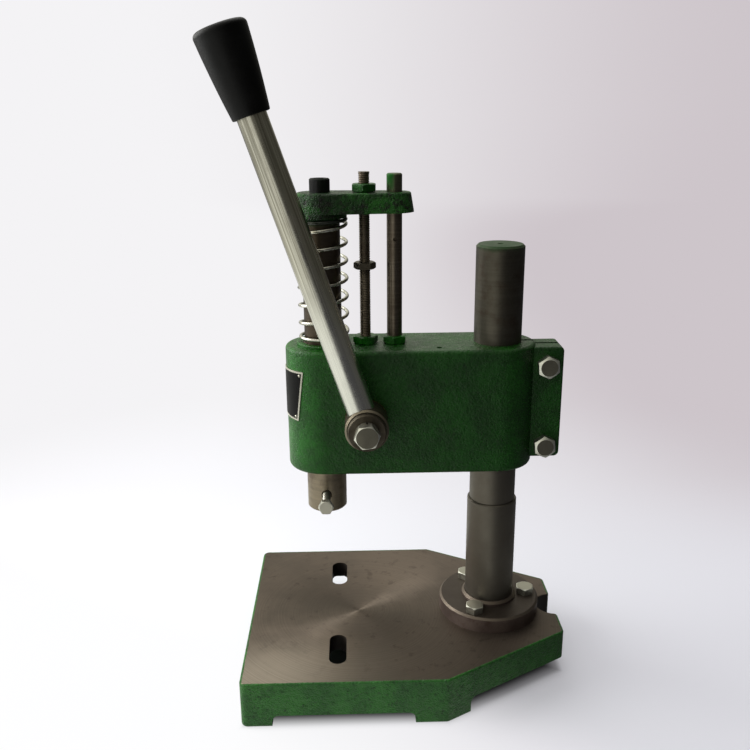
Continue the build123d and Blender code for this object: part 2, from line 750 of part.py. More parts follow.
def pinion_cover():
    """Round cover that closes the gear chamber and carries the far bush."""
    flange = cross_disc(cover_diameter / 2, pinion_x, pinion_z, head_side, head_side + cover_thickness)
    flange = fillet(flange.edges().sort_by(Axis.Y)[-1], cover_edge_round)
    spigot_radius = chamber_radius - socket_fit
    body = flange + cross_disc(spigot_radius, pinion_x, pinion_z, head_side - cover_spigot_depth, head_side)
    body += cross_disc(cover_nose_radius, pinion_x, pinion_z, chamber_near, head_side)
    bush_hole = far_journal_diameter / 2 + bush_wall + socket_fit
    body -= cross_disc(bush_hole, pinion_x, pinion_z, chamber_near, head_side)
    for place in bolt_places(cover_screw_circle, cover_screw_count):
        hole = upright_disc(cover_screw_diameter / 2 + bolt_clearance, 0, 0, 0, cover_thickness)
        body -= Pos(pinion_x, head_side, pinion_z) * Rot(-90, 0, 0) * place * hole
    return body


def cover_screws():
    """Socket head screws of the cover."""
    head = upright_disc(cover_screw_head_diameter / 2, 0, 0, 0, cover_screw_head)
    socket = extrude(RegularPolygon(cover_screw_head_diameter / 4, 6, major_radius=False), cover_screw_head / 2)
    head -= Pos(0, 0, cover_screw_head / 2) * socket
    screw = head + upright_disc(cover_screw_diameter / 2, 0, 0, -cover_thickness - cover_screw_depth, 0)
    seat = Pos(pinion_x, head_side + cover_thickness, pinion_z) * Rot(-90, 0, 0)
    return [seat * place * screw for place in bolt_places(cover_screw_circle, cover_screw_count)]


def lever_place():
    """Frame of the lever: its Z runs up the rod and its origin is on the pinion's axis."""
    return Pos(pinion_x, rod_y, pinion_z) * Rot(0, -lever_lean, 0)


def lever_hub():
    """Round hub with a bore for the shaft, a keyway and a threaded seat for the rod."""
    body = cross_disc(hub_diameter / 2, pinion_x, pinion_z, -hub_front, -hub_back)
    body = chamfer(body.edges().sort_by(Axis.Y)[0], hub_chamfer)
    body -= cross_disc(hub_seat_diameter / 2 + shaft_fit, pinion_x, pinion_z, -hub_front, -hub_back)
    body -= key_block(0)
    rod_foot = hub_diameter / 2 - hub_web
    body -= lever_place() * upright_disc(lever_spigot_diameter / 2 + screw_clearance, 0, 0, 0, hub_diameter)
    return body - lever_place() * upright_disc(lever_rod_diameter / 2 + screw_clearance, 0, 0, rod_foot, hub_diameter)


def hub_end_washer():
    """Thick washer that covers the shaft's end and bears on the hub."""
    disc = cross_disc(end_washer_diameter / 2, pinion_x, pinion_z, -washer_front, -hub_front)
    disc = chamfer(disc.edges().sort_by(Axis.Y)[0], end_washer_chamfer)
    return disc - cross_disc(hub_bolt_diameter / 2 + bolt_clearance, pinion_x, pinion_z, -washer_front, -hub_front)


def hub_spring_washer():
    """Split spring washer under the head of the hub bolt."""
    ring = cross_disc(spring_washer_diameter / 2, pinion_x, pinion_z, -hub_bolt_seat, -washer_front)
    ring -= cross_disc(hub_bolt_diameter / 2 + bolt_clearance, pinion_x, pinion_z, -hub_bolt_seat, -washer_front)
    half = spring_washer_slit / 2
    slit = block(-half, half, -hub_bolt_seat, -washer_front, 0, spring_washer_diameter)
    return ring - Pos(pinion_x, 0, pinion_z) * slit


def hub_key():
    """Square key between the shaft and the hub."""
    return key_block(0)


def hub_bolt():
    """Hexagon bolt that holds the hub on the shaft."""
    length = hub_bolt_seat - hub_back - hub_seat_length + hub_bolt_depth
    bolt = Rot(90, 0, 0) * hex_bolt(hub_bolt_diameter, hub_bolt_flats, hub_bolt_head, length, hub_bolt_turn)
    return Pos(pinion_x, -hub_bolt_seat, pinion_z) * bolt


def lever_rod():
    """Bright rod of the lever with a threaded spigot that screws into the hub."""
    foot = hub_diameter / 2 - hub_web
    rod = upright_disc(lever_rod_diameter / 2, 0, 0, foot, lever_rod_length)
    rod = chamfer(rod.edges().sort_by(Axis.Z)[-1], 1.0)
    rod += upright_disc(lever_spigot_diameter / 2, 0, 0, foot - lever_spigot_length, foot)
    return lever_place() * rod


def lever_grip():
    """Tapered grip pushed on the end of the rod, thicker at the outer end."""
    small = grip_small_diameter / 2
    large = grip_large_diameter / 2
    half = (small + large) / 2 + grip_swell
    end = grip_start + grip_length
    with BuildPart() as grip:
        with BuildSketch(Plane.XZ) as section:
            with BuildLine():
                Polyline((0, grip_start), (small, grip_start))
                ThreePointArc((small, grip_start), (half, grip_start + grip_length / 2), (large, end))
                Polyline((large, end), (0, end), (0, grip_start))
            make_face()
        revolve(axis=Axis.Z)
    body = grip.part
    body = fillet(body.edges().sort_by(Axis.Z)[-1], grip_end_round)
    body = fillet(body.edges().sort_by(Axis.Z)[0], grip_start_round)
    body -= upright_disc(lever_rod_diameter / 2 + socket_fit, 0, 0, grip_start, lever_rod_length)
    return lever_place() * body


def solids_of(shape):
    """The solids of one part or of a group of parts."""
    pieces = shape if isinstance(shape, list) else [shape]
    return [solid for piece in pieces for solid in piece.solids()]


parts = {
    "base_casting": base_casting(),
    "column_flange": column_flange(),
    "column": column(),
    "flange_bolts": flange_bolts(),
    "head_casting": head_casting(),
    "clamp_bolts": clamp_bolts(),
    "ram": ram(),
    "tool_clamp_screw": tool_clamp_screw(),
    "yoke": yoke(),
    "yoke_cap_screw": yoke_cap_screw(),
    "return_spring": return_spring(),
    "depth_stop_stud": depth_stop_stud(),
    "stud_lock_nut": stud_lock_nut(),
    "stud_top_nut": stud_top_nut(),
    "depth_stop_nut": depth_stop_nut(),
    "guide_rod": guide_rod(),
    "guide_rod_nut": guide_rod_nut(),
    "pinion_shaft": pinion_shaft(),
    "near_bush": near_bush(),
    "far_bush": far_bush(),
    "pinion_cover": pinion_cover(),
    "cover_screws": cover_screws(),
    "lever_hub": lever_hub(),
    "hub_key": hub_key(),
    "hub_end_washer": hub_end_washer(),
    "hub_spring_washer": hub_spring_washer(),
    "hub_bolt": hub_bolt(),
    "lever_rod": lever_rod(),
    "lever_grip": lever_grip(),
}

# The origin is under the middle of the whole press, on the surface that the feet stand on.
everything = Compound(children=[solid for part in parts.values() for solid in solids_of(part)])
overall = everything.bounding_box()
shift = Vector(-(overall.min.X + overall.max.X) / 2, 0, 0)

os.makedirs("parts", exist_ok=True)
for name, part in parts.items():
    placed = [Pos(shift) * solid for solid in solids_of(part)]
    export_step(Compound(children=placed), f"parts/{name}.step")
print("origin lies", round(-shift.X, 3), "from the column along X")
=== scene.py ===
import math
import bpy
from mathutils import Matrix, Vector


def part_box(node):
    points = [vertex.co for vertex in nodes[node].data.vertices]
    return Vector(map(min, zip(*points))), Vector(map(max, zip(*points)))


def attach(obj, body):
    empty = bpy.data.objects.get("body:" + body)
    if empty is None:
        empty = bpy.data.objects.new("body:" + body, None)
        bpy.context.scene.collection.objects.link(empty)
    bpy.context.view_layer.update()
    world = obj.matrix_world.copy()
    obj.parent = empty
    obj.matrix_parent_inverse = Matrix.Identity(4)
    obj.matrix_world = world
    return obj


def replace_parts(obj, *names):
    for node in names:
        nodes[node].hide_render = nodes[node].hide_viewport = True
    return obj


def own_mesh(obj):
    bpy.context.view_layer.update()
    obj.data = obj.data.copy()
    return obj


# A bench hand press: green enamelled castings, bare ground steel and a black grip.
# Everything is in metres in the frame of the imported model: X from the ram back to the column,
# Y across with the lever on the near side, Z up from the feet.

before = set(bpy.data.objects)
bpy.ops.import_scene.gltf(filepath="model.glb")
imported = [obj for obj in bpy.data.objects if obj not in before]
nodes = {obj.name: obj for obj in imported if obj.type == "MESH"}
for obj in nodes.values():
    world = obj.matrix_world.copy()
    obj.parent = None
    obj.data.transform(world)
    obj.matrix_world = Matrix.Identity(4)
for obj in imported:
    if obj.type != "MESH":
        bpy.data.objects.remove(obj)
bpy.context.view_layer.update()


# Shading helpers
def add(tree, kind, **values):
    """A shader node with some of its inputs or properties set by name."""
    node = tree.nodes.new(kind)
    for key, value in values.items():
        name = key.replace("_", " ")
        if name in node.inputs:
            node.inputs[name].default_value = value
        else:
            setattr(node, key, value)
    return node


def plug(tree, source, target):
    """Joins an output, or a plain value, to an input."""
    if isinstance(source, bpy.types.NodeSocket):
        tree.links.new(source, target)
    else:
        target.default_value = source


def colour(red, green, blue):
    """A colour given as it shows on screen, from 0 to 255, as a shader wants it."""
    parts = [value / 255 for value in (red, green, blue)]
    linear = [part / 12.92 if part <= 0.04045 else ((part + 0.055) / 1.055) ** 2.4 for part in parts]
    return (*linear, 1.0)


def mixed(tree, factor, first, second):
    """A mix of two colours by a factor."""
    node = add(tree, "ShaderNodeMix", data_type="RGBA")
    for source, target in zip((factor, first, second), (0, 6, 7)):
        plug(tree, source, node.inputs[target])
    return node.outputs[2]


def chosen(tree, factor, first, second):
    """A mix of two values by a factor."""
    node = add(tree, "ShaderNodeMix", data_type="FLOAT")
    for source, target in zip((factor, first, second), (0, 2, 3)):
        plug(tree, source, node.inputs[target])
    return node.outputs[0]


def sums(tree, operation, first, *others):
    """A value worked out from others, two at a time."""
    value = first
    for other in others or (0.0,):
        node = add(tree, "ShaderNodeMath", operation=operation)
        plug(tree, value, node.inputs[0])
        plug(tree, other, node.inputs[1])
        value = node.outputs[0]
    return value


def step(tree, value, low, high, to_low=0.0, to_high=1.0):
    """A smooth change from one value to another as a value goes from low to high."""
    node = add(tree, "ShaderNodeMapRange", interpolation_type="SMOOTHSTEP")
    plug(tree, value, node.inputs["Value"])
    for name, number in zip(("From Min", "From Max", "To Min", "To Max"), (low, high, to_low, to_high)):
        node.inputs[name].default_value = number
    return node.outputs["Result"]


def noise(tree, place, scale, detail=3.0, rough=0.55):
    """Noise over the object, from 0 to 1."""
    node = add(tree, "ShaderNodeTexNoise", Scale=scale, Detail=detail, Roughness=rough)
    plug(tree, place, node.inputs["Vector"])
    return node.outputs["Fac"]


def surface(name):
    """A new material with its tree, its shader and the place on the object in metres."""
    material = bpy.data.materials.new(name)
    material.use_nodes = True
    tree = material.node_tree
    shader = tree.nodes["Principled BSDF"]
    place = add(tree, "ShaderNodeTexCoord").outputs["Object"]
    return material, tree, shader, place


def bumped(tree, shader, height, depth, strength=1.0):
    """Raises the surface by a height from 0 to 1, depth metres in all."""
    node = add(tree, "ShaderNodeBump", Strength=strength, Distance=depth)
    plug(tree, height, node.inputs["Height"])
    plug(tree, node.outputs["Normal"], shader.inputs["Normal"])


def stretched(tree, place, scale, turn=(0.0, 0.0, 0.0)):
    """The place scaled along each axis, after a turn, for marks that run one way."""
    node = add(tree, "ShaderNodeMapping", vector_type="TEXTURE")
    node.inputs["Rotation"].default_value = turn
    node.inputs["Scale"].default_value = scale
    plug(tree, place, node.inputs["Vector"])
    return node.outputs["Vector"]


def axes_of(tree, vector):
    """The three parts of a vector."""
    node = add(tree, "ShaderNodeSeparateXYZ")
    plug(tree, vector, node.inputs[0])
    return node.outputs


def facing(tree, axis):
    """How squarely the surface looks along an axis, from 0 to 1."""
    normal = add(tree, "ShaderNodeNewGeometry").outputs["Normal"]
    return sums(tree, "ABSOLUTE", axes_of(tree, normal)[axis])


def within(tree, value, middle, reach, soft=0.0003):
    """1 where a value is nearer to its middle than a reach, 0 elsewhere."""
    away = sums(tree, "ABSOLUTE", sums(tree, "SUBTRACT", value, middle))
    return step(tree, away, reach - soft, reach + soft, 1.0, 0.0)


def paint(*node_names, material):
    """Gives CAD nodes a material."""
    for name in node_names:
        mesh = nodes[name].data
        mesh.materials.clear()
        mesh.materials.append(material)


# Geometry node helpers
def group(name, **inputs):
    """A geometry node group with named number inputs; gives its tree and the input sockets."""
    tree = bpy.data.node_groups.new(name, "GeometryNodeTree")
    tree.interface.new_socket("Geometry", in_out="OUTPUT", socket_type="NodeSocketGeometry")
    for key, value in inputs.items():
        kind = "NodeSocketInt" if isinstance(value, int) else "NodeSocketFloat"
        socket = tree.interface.new_socket(key.replace("_", " "), in_out="INPUT", socket_type=kind)
        socket.default_value = value
    entry = tree.nodes.new("NodeGroupInput")
    return tree, entry.outputs


def field(tree, operation, *values):
    """A value worked out in a geometry node tree."""
    node = tree.nodes.new("ShaderNodeMath")
    node.operation = operation
    for value, target in zip(values, node.inputs):
        plug(tree, value, target)
    return node.outputs[0]


def vector(tree, x, y, z):
    """A vector from three fields."""
    node = tree.nodes.new("ShaderNodeCombineXYZ")
    for value, target in zip((x, y, z), node.inputs):
        plug(tree, value, target)
    return node.outputs[0]


def grid_of(tree, across, up):
    """A flat grid with that many points each way; gives it and its two places from 0 to 1."""
    grid = tree.nodes.new("GeometryNodeMeshGrid")
    grid.inputs["Size X"].default_value = 1.0
    grid.inputs["Size Y"].default_value = 1.0
    plug(tree, across, grid.inputs["Vertices X"])
    plug(tree, up, grid.inputs["Vertices Y"])
    place = axes_of(tree, tree.nodes.new("GeometryNodeInputPosition").outputs[0])
    return grid.outputs[0], field(tree, "ADD", place[0], 0.5), field(tree, "ADD", place[1], 0.5)


def put(tree, geometry, position):
    """Moves each point of a geometry to a position."""
    node = tree.nodes.new("GeometryNodeSetPosition")
    plug(tree, geometry, node.inputs[0])
    plug(tree, position, node.inputs["Position"])
    return node.outputs[0]


def joined(tree, *geometries):
    """Several geometries as one."""
    node = tree.nodes.new("GeometryNodeJoinGeometry")
    for geometry in geometries:
        tree.links.new(geometry, node.inputs[0])
    return node.outputs[0]


def made(tree, geometry, material, name, smooth=True):
    """Ends a tree, runs it and keeps what it makes as a plain mesh at the origin."""
    shade = tree.nodes.new("GeometryNodeSetShadeSmooth")
    shade.inputs["Shade Smooth"].default_value = smooth
    real = tree.nodes.new("GeometryNodeRealizeInstances")
    finish = tree.nodes.new("GeometryNodeSetMaterial")
    finish.inputs["Material"].default_value = material
    leave = tree.nodes.new("NodeGroupOutput")
    plug(tree, geometry, real.inputs[0])
    plug(tree, real.outputs[0], shade.inputs[0])
    plug(tree, shade.outputs[0], finish.inputs[0])
    plug(tree, finish.outputs[0], leave.inputs[0])
    carrier = bpy.data.objects.new(name + "_maker", bpy.data.meshes.new(name + "_maker"))
    bpy.context.scene.collection.objects.link(carrier)
    modifier = carrier.modifiers.new("nodes", "NODES")
    modifier.node_group = tree
    bpy.context.view_layer.update()
    ready = carrier.evaluated_get(bpy.context.evaluated_depsgraph_get())
    mesh = bpy.data.meshes.new_from_object(ready)
    mesh.name = name
    bpy.data.objects.remove(carrier)
    piece = bpy.data.objects.new(name, mesh)
    bpy.context.scene.collection.objects.link(piece)
    return piece


def place_mesh(piece, matrix):
    """Moves a piece's own vertices, so that the object stays at the origin."""
    piece.data.transform(matrix)
    piece.data.update()
    return piece


def middle(name):
    """Centre of a CAD node's box."""
    low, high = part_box(name)
    return (low + high) / 2


column_x = middle("column").x
ram_x = middle("ram").x


# Enamel on castings
# Grey iron as it leaves the sand mould, under a thick coat of brushed green enamel that is
# glossy, uneven and dirty in its pits.
def enamel(name, light, dark, dirt, roughness=0.30, dirt_from=0.60, skin_depth=0.0009, dirt_scale=130.0):
    """Green enamel over a cast skin."""
    material, tree, shader, place = surface(name)
    tone = noise(tree, place, 45.0, 5.0, 0.7)
    base = mixed(tree, step(tree, tone, 0.36, 0.64), dark, light)
    smudge = noise(tree, place, dirt_scale, 6.0, 0.75)
    base = mixed(tree, step(tree, smudge, dirt_from, dirt_from + 0.14, 0.0, 0.85), base, dirt)
    plug(tree, base, shader.inputs["Base Color"])
    rough = step(tree, smudge, 0.35, 0.75, roughness - 0.06, roughness + 0.18)
    plug(tree, rough, shader.inputs["Roughness"])
    shader.inputs["Specular IOR Level"].default_value = 0.27
    lumps = noise(tree, place, 230.0, 3.0, 0.6)
    grains = noise(tree, place, 800.0, 3.0, 0.6)
    bumped(tree, shader, sums(tree, "ADD", lumps, sums(tree, "MULTIPLY", grains, 0.8)), skin_depth, 0.7)
    return material, tree, shader, place


# Bare steel
# Turned, ground or drawn bar with fine marks that run one way and a thin brown film of oil.
def steel(name, light, dark, marks, turn=(0.0, 0.0, 0.0), roughness=0.32, metallic=0.9, stain=0.35,
          stain_colour=(62, 48, 38), groove=0.000012):
    """Bare steel: marks is the size of a mark along each axis in metres."""
    material, tree, shader, place = surface(name)
    streak = noise(tree, stretched(tree, place, marks, turn), 1.0, 3.0)
    film = noise(tree, place, 55.0, 5.0, 0.65)
    base = mixed(tree, step(tree, streak, 0.3, 0.7), dark, light)
    base = mixed(tree, step(tree, film, 0.46, 0.70, 0.0, stain), base, colour(*stain_colour))
    plug(tree, base, shader.inputs["Base Color"])
    shader.inputs["Metallic"].default_value = metallic
    plug(tree, step(tree, film, 0.3, 0.7, roughness, roughness + 0.14), shader.inputs["Roughness"])
    bumped(tree, shader, streak, groove, 0.8)
    return material, tree, shader, place


def tinted(parts, mask, tint):
    """Changes the colour of a steel to a tint where the mask is 1."""
    _, tree, shader, _ = parts
    base = shader.inputs["Base Color"].links[0].from_socket
    plug(tree, mixed(tree, mask, base, tint), shader.inputs["Base Color"])
    return parts


def oversprayed(parts, mask, tint):
    """Lays green spray over a steel where the mask is 1."""
    material, tree, shader, _ = tinted(parts, mask, tint)
    bare = shader.inputs["Metallic"].default_value
    plug(tree, sums(tree, "SUBTRACT", bare, sums(tree, "MULTIPLY", mask, bare)), shader.inputs["Metallic"])
    return material


def misted(parts, level, low, high, raggedness, scale, tint, least=1.0):
    """Green mist on a steel from a level upwards, with a ragged edge and least on the right."""
    _, tree, shader, place = parts
    height = axes_of(tree, place)[2]
    cloud = noise(tree, place, scale, 4.0, 0.7)
    ragged = sums(tree, "ADD", height, sums(tree, "MULTIPLY", cloud, raggedness))
    normal = add(tree, "ShaderNodeNewGeometry").outputs["Normal"]
    from_left = step(tree, axes_of(tree, normal)[0], -0.35, 0.15, 1.0, least)
    shader.inputs["Specular IOR Level"].default_value = 0.15
    mist = sums(tree, "MULTIPLY", step(tree, ragged, level + low, level + high), from_left)
    return oversprayed(parts, mist, tint)


def turned(parts, axis, ring, face):
    """Paints a highlight on the chamfer of a turned piece and a tone of light or shade on its flat face,
    chosen by the way the surface faces.
    """
    tree = parts[1]
    squarely = facing(tree, axis)
    chamfer = sums(tree, "MULTIPLY", step(tree, squarely, 0.52, 0.60),
                   step(tree, squarely, 0.90, 0.95, 1.0, 0.0))
    tinted(parts, step(tree, squarely, 0.95, 0.99), face)
    return tinted(parts, chamfer, ring)[0]


# Base casting
# Table of grey iron on four feet, enamelled green and then milled bare on top, where oil and
# light rust have browned it. The paint of its rim runs a little way onto the milled face.
base_low, base_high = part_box("base_casting")
table_height = base_high.z
half_width = base_high.y
taper_start = column_x - 0.042
taper_run = base_high.x - taper_start
taper_fall = half_width - 0.039
taper_length = math.hypot(taper_run, taper_fall)
slot_x = column_x - 0.1217
slot_y = 0.055
notch_x = base_high.x - 0.014


def plan_depth(tree, x, y):
    """How far a place lies inside the outline of the base, in metres."""
    flank = sums(tree, "SUBTRACT", half_width, sums(tree, "ABSOLUTE", y))
    along = sums(tree, "MULTIPLY", sums(tree, "SUBTRACT", taper_start, x), taper_fall / taper_length)
    across = sums(tree, "MULTIPLY", flank, taper_run / taper_length)
    front = sums(tree, "SUBTRACT", x, base_low.x)
    rear = sums(tree, "SUBTRACT", base_high.x, x)
    return sums(tree, "MINIMUM", front, rear, flank, sums(tree, "ADD", along, across))


table, tree, shader, place = enamel("table_enamel", colour(46, 110, 36), colour(32, 88, 27),
                                    colour(20, 50, 18), roughness=0.34, dirt_from=0.53,
                                    skin_depth=0.0026, dirt_scale=330.0)
x, y, z = axes_of(tree, place)
edge = sums(tree, "MULTIPLY", noise(tree, place, 420.0, 3.0), 0.0012)
inside = step(tree, sums(tree, "ADD", plan_depth(tree, x, y), edge), 0.0018, 0.0026)
milled = sums(tree, "MULTIPLY", step(tree, z, table_height - 0.0004, table_height - 0.0001), inside)
cloud = noise(tree, place, 16.0, 5.0, 0.6)
iron = mixed(tree, step(tree, cloud, 0.35, 0.65), colour(88, 79, 69), colour(108, 97, 85))
spots = noise(tree, place, 120.0, 4.0, 0.7)
iron = mixed(tree, step(tree, spots, 0.56, 0.70, 0.0, 0.45), iron, colour(62, 53, 46))

# Towards the column the milled face is painted darker: painted shade.
painted_table_shade = step(tree, x, column_x - 0.10, column_x - 0.02, 0.0, 0.35)
iron = mixed(tree, painted_table_shade, iron, colour(68, 60, 53))
# Near its near left corner the milled face is painted lighter: a painted sheen.
painted_table_sheen = sums(tree, "MULTIPLY", step(tree, y, -0.030, -0.085), step(tree, x, 0.02, -0.09))
iron = mixed(tree, sums(tree, "MULTIPLY", painted_table_sheen, 0.6), iron, colour(150, 141, 126))

# Cutter marks are rings round a point between the slots, and light spreads across them.
cutter = Vector((column_x - 0.1054, -0.0034, 0.0))
spoke = add(tree, "ShaderNodeVectorMath", operation="SUBTRACT")
plug(tree, place, spoke.inputs[0])
spoke.inputs[1].default_value = cutter
spoke_x, spoke_y, _ = axes_of(tree, spoke.outputs[0])
squares = [sums(tree, "POWER", side, 2.0) for side in (spoke_x, spoke_y)]
reach = sums(tree, "SQRT", sums(tree, "ADD", *squares))
groove = noise(tree, vector(tree, reach, 0.0, 0.0), 900.0, 2.0)
iron = mixed(tree, step(tree, groove, 0.40, 0.62, 0.0, 0.22), iron, colour(66, 57, 50))
plug(tree, vector(tree, spoke_x, spoke_y, 0.0), shader.inputs["Tangent"])
spread = step(tree, reach, 0.03, 0.11, 0.92, 0.6)
plug(tree, sums(tree, "MULTIPLY", milled, spread), shader.inputs["Anisotropic"])

# The walls of the slots and of the rear notch are cut through the paint and show bare iron, painted darker
# than the milled face as painted shade in these recesses.
spare = 0.0004
slot_half_width = 0.0065 + spare
slot_half_length = 0.0180 + spare
notch_half_width = 0.0150
in_slot = sums(tree, "MULTIPLY", within(tree, x, slot_x, slot_half_width),
               within(tree, sums(tree, "ABSOLUTE", y), slot_y, slot_half_length))
in_notch = sums(tree, "MULTIPLY", step(tree, x, notch_x - 0.001, notch_x),
                within(tree, y, 0.0, notch_half_width, 0.001))
walls = sums(tree, "MAXIMUM", in_slot, in_notch)
bare = sums(tree, "MAXIMUM", milled, walls)
base = shader.inputs["Base Color"].links[0].from_socket
base = mixed(tree, milled, mixed(tree, walls, base, colour(40, 35, 31)), iron)
plug(tree, base, shader.inputs["Base Color"])
plug(tree, chosen(tree, bare, shader.inputs["Roughness"].links[0].from_socket,
                  step(tree, cloud, 0.3, 0.7, 0.40, 0.56)), shader.inputs["Roughness"])
plug(tree, sums(tree, "MULTIPLY", milled, 0.75), shader.inputs["Metallic"])
bump = shader.inputs["Normal"].links[0].from_node
plug(tree, sums(tree, "SUBTRACT", 0.70, sums(tree, "MULTIPLY", bare, 0.67)), bump.inputs["Strength"])
paint("base_casting", material=table)

# Column flange and its bolts
# Turned iron ring that stands on the table and holds the column's foot, with three plated
# hexagon bolts. It is browned all over; the chamfer of its upper edge carries a painted highlight
# and its top face a darker painted shade.
flange_iron = steel("flange_iron", colour(122, 108, 100), colour(88, 75, 69), (0.03, 0.03, 0.03),
                    roughness=0.42, metallic=0.7, stain=0.6, stain_colour=(70, 47, 38))
paint("column_flange", material=turned(flange_iron, 2, colour(98, 88, 77), colour(70, 62, 54)))

zinc_look = dict(light=colour(190, 189, 176), dark=colour(150, 148, 136), marks=(0.004, 0.004, 0.004),
                 roughness=0.28, stain=0.35, stain_colour=(110, 98, 80))
# This colour is the painted highlight laid on the chamfers of the plated bolts, washer and screw below.
zinc_highlight = colour(222, 222, 210)
zinc_up = steel("zinc_plate_up", **zinc_look)
paint("flange_bolts", material=turned(zinc_up, 2, zinc_highlight, colour(172, 170, 156)))

# Column
# Ground bar, thicker below its shoulder, clamped in the head and set in the flange. Its upper
# end carries a mist of the castings' green.
column_steel = steel("column_steel", colour(87, 83, 73), colour(80, 76, 67), (0.05, 0.05, 0.0016),
                     roughness=0.36, stain=0.55, groove=0.000006)
_, tree, _, place = column_steel
# The bar is painted lighter towards its foot: painted light.
painted_column_light = step(tree, axes_of(tree, place)[2], 0.15, 0.30, 0.8, 0.0)
tinted(column_steel, painted_column_light, colour(110, 105, 96))
paint("column", material=misted(column_steel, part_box("column")[1].z, -0.002, 0.0045, 0.006, 150.0,
                                colour(28, 64, 24)))

# Head casting and pinion cover
# The round-ended head carries the ram and is clamped on the column by its split ears. The
# cover closes the gear chamber on the far side and has the same paint.
head_paint, tree, shader, place = enamel("head_enamel", colour(27, 98, 16), colour(20, 74, 13),
                                         colour(15, 38, 13), skin_depth=0.0012)
base = shader.inputs["Base Color"].links[0].from_socket
# The head is painted darker from the ram towards the column: painted shade.
painted_head_shade = step(tree, axes_of(tree, place)[0], ram_x - 0.016, ram_x + 0.014, 0.0, 0.42)
plug(tree, mixed(tree, painted_head_shade, base, colour(24, 36, 22)), shader.inputs["Base Color"])
paint("head_casting", "pinion_cover", material=head_paint)

# Clamp bolts, hub bolt, spring washer and tool clamp screw
# Plated hexagon bolts that lie across the press. The screw in the ram's foot shows its thread.
zinc_across = steel("zinc_plate_across", **zinc_look)
paint("clamp_bolts", "hub_bolt", "hub_spring_washer",
      material=turned(zinc_across, 1, zinc_highlight, colour(138, 134, 118)))

screw_zinc = steel("zinc_thread", **zinc_look)
_, tree, shader, place = screw_zinc
depth = axes_of(tree, place)[1]
under_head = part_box("tool_clamp_screw")[0].y + 0.0041
shank = step(tree, depth, under_head, under_head + 0.0004)
wave = sums(tree, "PINGPONG", sums(tree, "MULTIPLY", depth, 1000.0), 0.5)
bump = shader.inputs["Normal"].links[0].from_node
plug(tree, sums(tree, "MULTIPLY", wave, shank), bump.inputs["Height"])
bump.inputs["Distance"].default_value = 0.0008
paint("tool_clamp_screw", material=turned(screw_zinc, 1, zinc_highlight, colour(190, 187, 172)))

# Ram and pinion shaft
# Ground bar with its rack, and the pinion that drives it. The ram's neck is sprayed green
# where it goes into the yoke.
ram_steel = steel("ram_steel", colour(142, 131, 112), colour(130, 120, 103), (0.05, 0.05, 0.0016),
                  roughness=0.30, stain=0.5, groove=0.000006)
_, tree, _, place = ram_steel
neck = axes_of(tree, place)[2]
spring_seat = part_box("return_spring")[0].z
dark_neck = step(tree, neck, spring_seat - 0.0020, spring_seat + 0.0004, 0.0, 0.75)
tinted(ram_steel, dark_neck, colour(52, 42, 35))
paint("ram", "pinion_shaft", material=misted(ram_steel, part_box("yoke")[0].z, -0.0045, 0.0, 0.004, 220.0,
                                             colour(26, 66, 30)))

# Yoke and its cap screw
# Cast arm that a black socket screw holds on the ram. Its enamel is thick and lumpy and has
# been rubbed dark in patches.
yoke_paint, _, shader, _ = enamel("yoke_enamel", colour(38, 104, 26), colour(14, 50, 10),
                                  colour(22, 18, 14), roughness=0.38, dirt_from=0.47,
                                  skin_depth=0.0040, dirt_scale=190.0)
shader.inputs["Specular IOR Level"].default_value = 0.22
paint("yoke", material=yoke_paint)

oxide_look = dict(light=colour(15, 17, 15), dark=colour(8, 9, 8), marks=(0.01, 0.01, 0.01), roughness=0.50,
                  metallic=0.0, stain=0.6, stain_colour=(14, 40, 14))
black_oxide = steel("black_oxide", **oxide_look)
_, tree, shader, place = black_oxide
x, y, z = axes_of(tree, place)
around = sums(tree, "ARCTAN2", y, sums(tree, "SUBTRACT", x, ram_x))
knurl_ridges = 48
knurl = sums(tree, "PINGPONG", sums(tree, "MULTIPLY", around, knurl_ridges / math.tau), 0.5)
side_of = step(tree, facing(tree, 2), 0.3, 0.6, 1.0, 0.0)
bump = shader.inputs["Normal"].links[0].from_node
plug(tree, sums(tree, "MULTIPLY", knurl, side_of), bump.inputs["Height"])
bump.inputs["Distance"].default_value = 0.0006
shader.inputs["Specular IOR Level"].default_value = 0.15
paint("yoke_cap_screw", material=black_oxide[0])

# Guide rod and nuts
# Plain dark rod that keeps the yoke from turning, green where it stands above the yoke, and
# the hexagon nuts that lock it and the stud.
rod_look = dict(light=colour(112, 103, 90), dark=colour(96, 87, 75), marks=(0.03, 0.03, 0.0014),
                roughness=0.27)
rod_steel = steel("rod_steel", **rod_look)
paint("guide_rod", material=misted(rod_steel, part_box("yoke")[1].z, 0.002, 0.018, 0.016, 260.0,
                                   colour(24, 92, 22), least=0.25))

nut_paint = enamel("nut_enamel", colour(30, 110, 22), colour(16, 60, 13), colour(24, 26, 20),
                   roughness=0.34, dirt_from=0.55)[0]
paint("stud_lock_nut", "stud_top_nut", "guide_rod_nut", material=nut_paint)

# Lever hub, end washer, key and depth stop nut
# Turned pieces left bare and dull brown; the hub and its key carry a painted highlight on their
# chamfers and a darker painted shade on their faces.
hub_steel = steel("hub_steel", colour(104, 94, 82), colour(76, 66, 56), (0.04, 0.0009, 0.04),
                  roughness=0.34, metallic=0.85, stain=0.5, stain_colour=(66, 48, 40))
paint("lever_hub", "hub_key", material=turned(hub_steel, 1, colour(122, 114, 98), colour(80, 74, 62)))
washer_steel = steel("washer_steel", colour(92, 86, 74), colour(72, 66, 55), (0.01, 0.01, 0.01),
                     roughness=0.38, metallic=0.85, stain=0.5, stain_colour=(60, 50, 42))[0]
paint("hub_end_washer", "depth_stop_nut", material=washer_steel)

